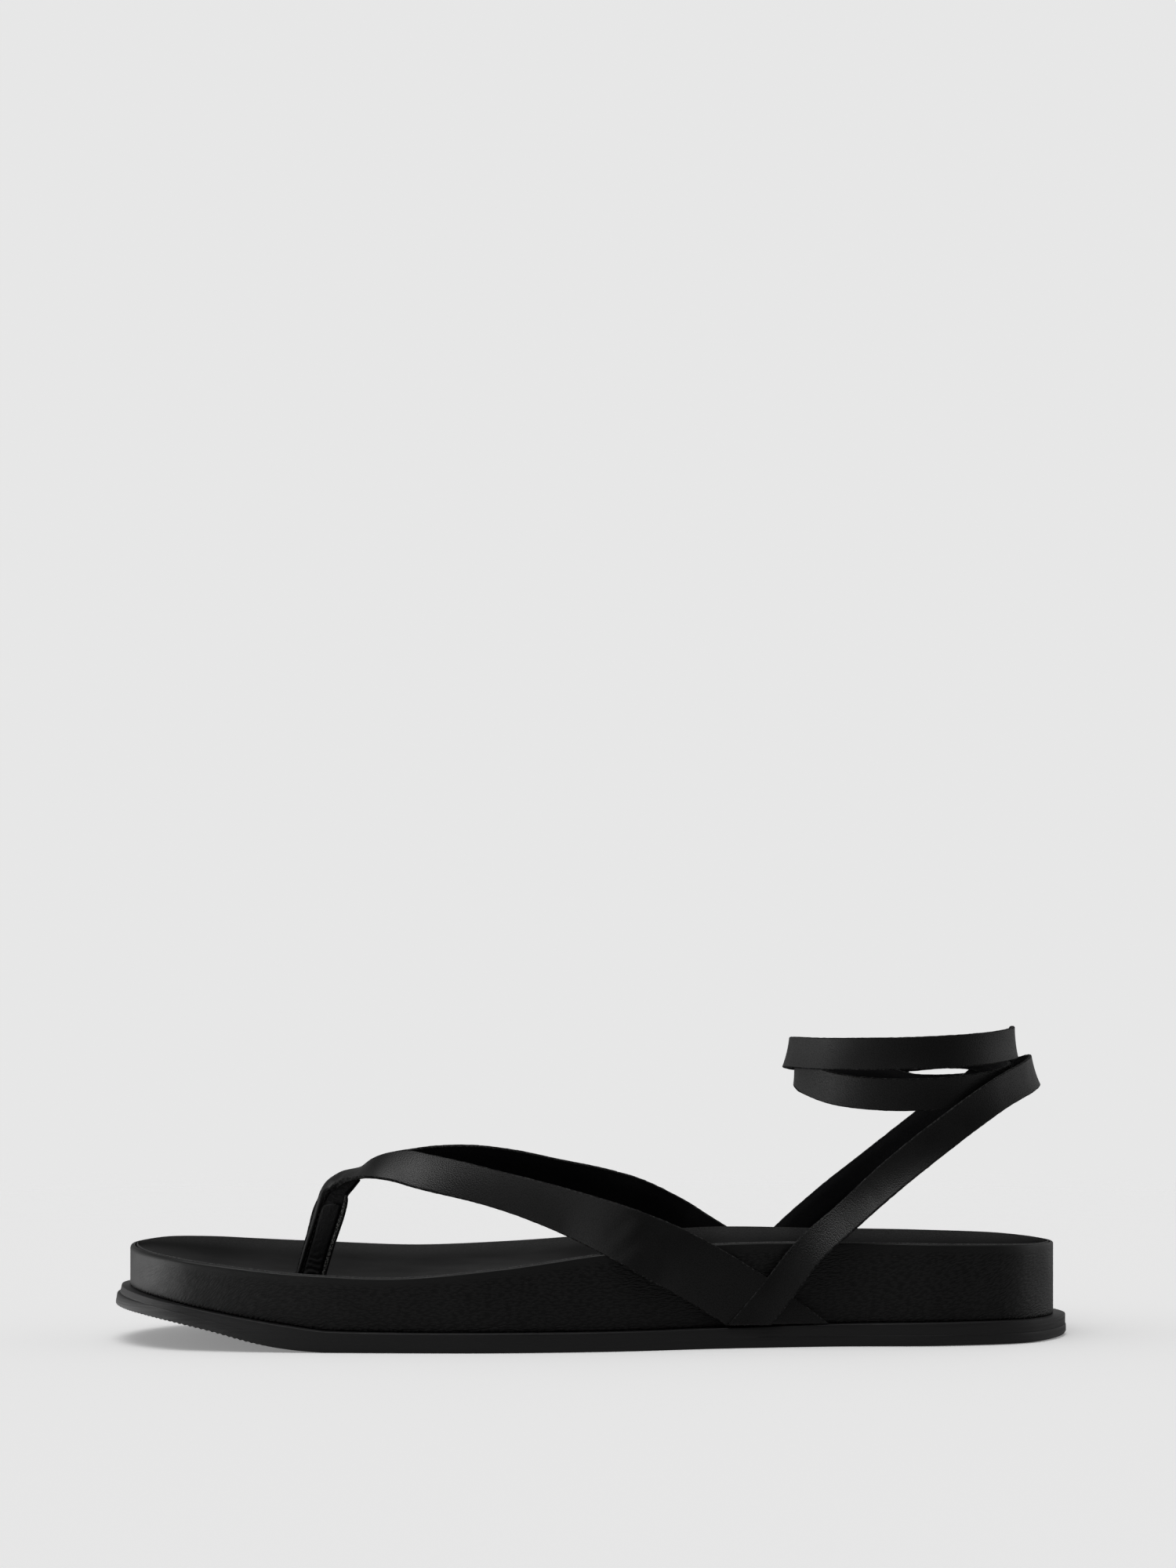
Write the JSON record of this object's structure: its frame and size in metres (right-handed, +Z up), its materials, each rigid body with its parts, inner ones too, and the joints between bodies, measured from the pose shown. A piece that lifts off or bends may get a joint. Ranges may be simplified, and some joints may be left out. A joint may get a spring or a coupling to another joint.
{
  "type": "platform sandal",
  "caption": "Right platform thong sandal: leather straps run from a toe post to the arch and wind round the ankle to a buckle, over a contoured leather-wrapped footbed and rubber outsole.",
  "frame": {"origin": "floor point under the middle of the shoe's box", "axes": "X along the shoe with the toe at -X and the heel at +X, Y across it with the medial side at -Y, Z up from the floor"},
  "size_m": [0.2608, 0.0962, 0.085],
  "materials": {
    "outsole_rubber": "satin black moulded rubber",
    "wrap_leather": "fine creased black leather wrap",
    "sock_leather": "matte black smooth leather",
    "strap_leather": "black pebbled leather, satin",
    "buckle_metal": "dark plated metal"
  },
  "bodies": {
    "root": {"outsole": "outsole_rubber", "midsole": "wrap_leather", "insole": "sock_leather", "upper": "strap_leather", "buckle_frame": "buckle_metal", "buckle_prong": "buckle_metal", "strap_keeper": "strap_leather"}
  },
  "joints": []
}
